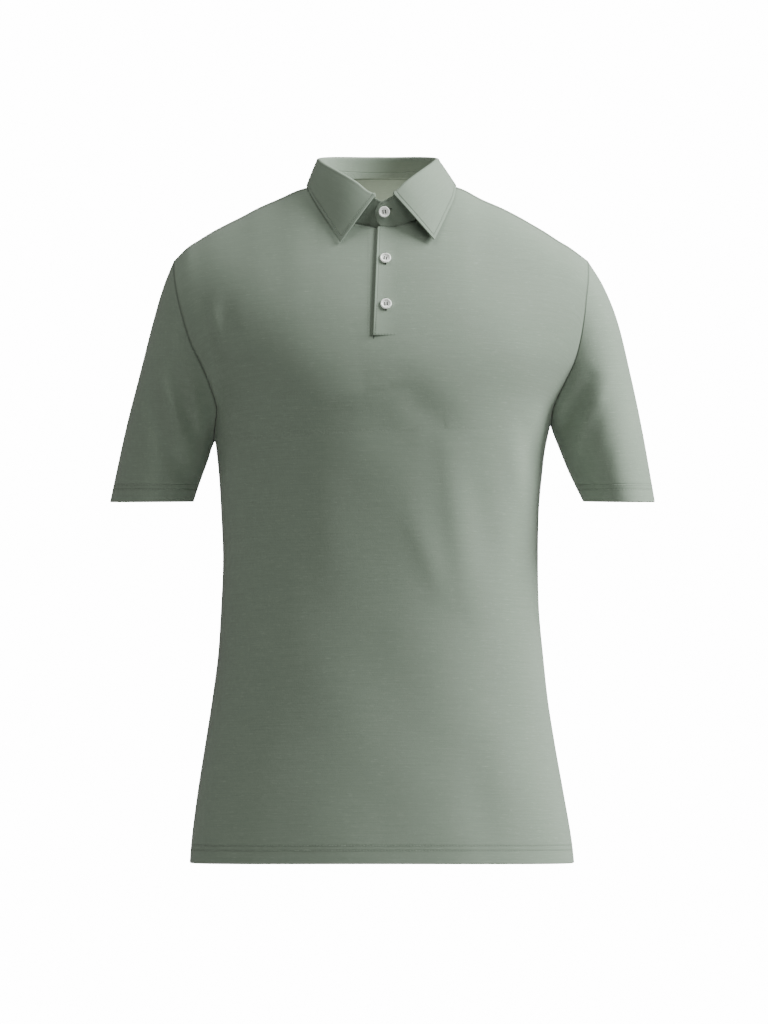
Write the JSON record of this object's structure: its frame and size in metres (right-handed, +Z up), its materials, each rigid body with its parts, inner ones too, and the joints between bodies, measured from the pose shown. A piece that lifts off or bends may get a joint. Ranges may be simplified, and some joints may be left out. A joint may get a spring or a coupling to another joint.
{
  "type": "polo shirt",
  "caption": "Short-sleeved polo shirt in fine jersey: fold-over collar, buttoned front placket, set-in sleeves and a straight hem, filled out as if worn.",
  "frame": {"origin": "midway between the two points where the shoulder seams meet the neck seam", "axes": "+X to the wearer's left, +Y to the back, +Z up; the front faces -Y"},
  "size_m": [0.573, 0.2501, 0.7514],
  "materials": {
    "jersey": "matte sage-green single jersey with fine cross slubs",
    "collar_cloth": "matte sage-green jersey, two layers",
    "placket_cloth": "matte sage-green jersey, two layers",
    "button_shell": "polished pale shell"
  },
  "bodies": {
    "root": {"front_panel": "jersey", "back_panel": "jersey", "sleeve_left": "jersey", "sleeve_right": "jersey", "collar_leaf": "collar_cloth", "collar_stand": "collar_cloth", "placket_top": "placket_cloth", "placket_under": "placket_cloth", "button_1": "button_shell", "button_2": "button_shell", "button_3": "button_shell"}
  },
  "joints": []
}
